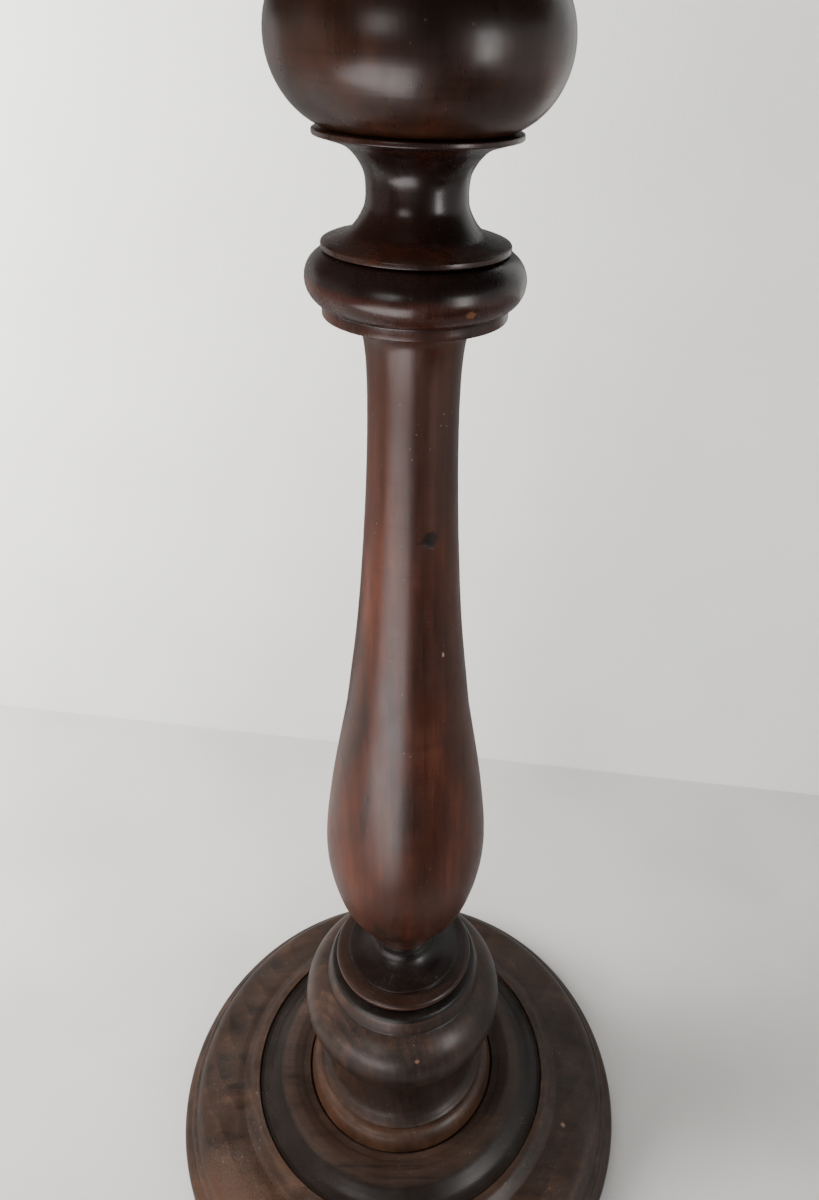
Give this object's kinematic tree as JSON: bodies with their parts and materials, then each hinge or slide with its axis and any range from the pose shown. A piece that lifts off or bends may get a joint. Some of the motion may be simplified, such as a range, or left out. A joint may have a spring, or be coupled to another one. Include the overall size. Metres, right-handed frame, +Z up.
{
  "type": "trumpet stand",
  "caption": "Floor-standing turned wooden trumpet stand: moulded round base, hub, vase column, collar, waisted neck, round knop and a tapered bell peg.",
  "frame": {"origin": "on the stand's axis, on the floor, under the middle of the base", "axes": "+Z up along the column; the stand is round, so +X and +Y lie anywhere across the base"},
  "size_m": [0.32, 0.32, 0.862],
  "materials": {
    "dark_wood": "dark brown stain under satin wax polish, worn lighter on the edges",
    "red_wood": "red-brown stain under satin wax polish",
    "felt": "dense dark green wool felt",
    "zinc_steel": "zinc plated, slightly dulled"
  },
  "bodies": {
    "root": {"base_disc": "dark_wood", "step_disc": "dark_wood", "hub_block": "dark_wood", "column_shaft": "red_wood", "collar_ring": "dark_wood", "spool_neck": "dark_wood", "knop": "red_wood", "bell_pad": "felt", "bell_peg": "red_wood", "tie_bolt": "zinc_steel", "tie_washer": "zinc_steel", "tie_nut": "zinc_steel", "hub_screw_1": "zinc_steel", "hub_screw_2": "zinc_steel", "hub_screw_3": "zinc_steel", "hub_screw_4": "zinc_steel", "step_screw_1": "zinc_steel", "step_screw_2": "zinc_steel", "step_screw_3": "zinc_steel", "step_screw_4": "zinc_steel", "foot_pad_1": "felt", "foot_pad_2": "felt", "foot_pad_3": "felt", "foot_pad_4": "felt", "foot_pad_5": "felt", "foot_pad_6": "felt"}
  },
  "joints": []
}
